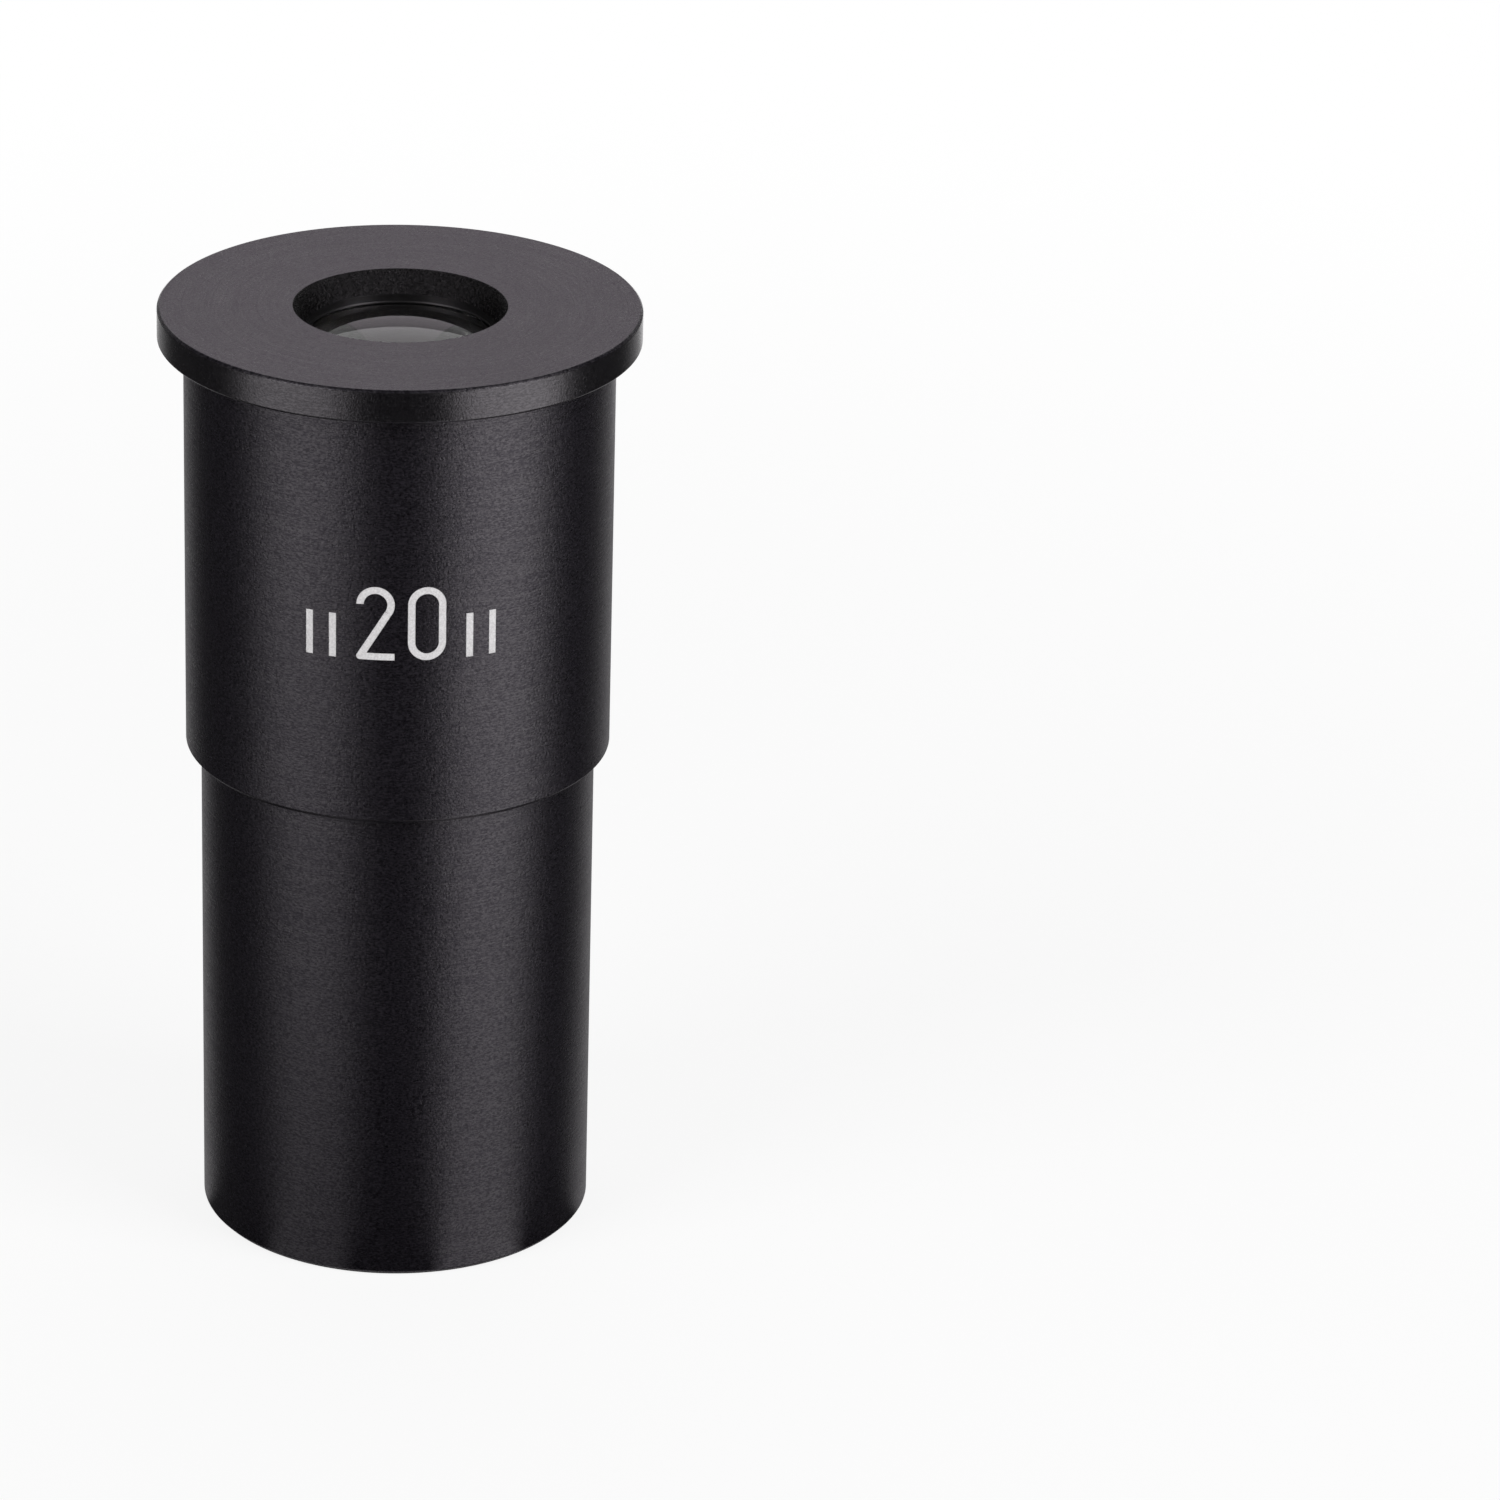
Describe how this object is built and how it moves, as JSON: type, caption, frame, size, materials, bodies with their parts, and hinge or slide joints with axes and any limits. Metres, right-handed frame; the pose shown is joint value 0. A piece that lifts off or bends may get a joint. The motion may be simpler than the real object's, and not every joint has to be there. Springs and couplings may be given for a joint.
{
  "type": "eyepiece",
  "caption": "Straight flanged eyepiece for a 23.2 mm tube: black screw-together head and barrel, cemented eye lens, field stop and field lens.",
  "frame": {"origin": "on the optical axis, in the plane of the barrel's bottom rim", "axes": "+Z along the optical axis from the barrel's bottom rim to the eye's side; the marking faces -Y"},
  "size_m": [0.028, 0.028, 0.057],
  "materials": {
    "anodised_black": "fine bead-blasted, black anodised",
    "blackened_ring": "turned, dull black anodised",
    "crown_glass": "polished, coated",
    "flint_glass": "polished",
    "white_paint": "matt enamel in the engraving"
  },
  "bodies": {
    "barrel": {"barrel": "anodised_black", "field_stop": "blackened_ring", "spacer_tube": "blackened_ring", "field_lens": "crown_glass", "field_lens_ring": "blackened_ring"},
    "eye_optics": {"eye_lens_crown": "crown_glass", "eye_lens_flint": "flint_glass"},
    "head": {"head_sleeve": "anodised_black", "marking_fill": "white_paint", "eye_lens_ring": "blackened_ring"}
  },
  "joints": [
    {"name": "head_lift", "type": "slide", "parent": "barrel", "child": "eye_optics", "axis": [0, 0, 1], "range_m": [0, 0.0045]},
    {"name": "head_turn", "type": "hinge", "parent": "eye_optics", "child": "head", "pos_m": [0, 0, 0.0298], "axis": [0, 0, 1], "range_deg": [0, 2160]}
  ],
  "couplings": [
    {"joint": "head_lift", "follows": "head_turn", "m_per_rad": 0.00011937}
  ]
}
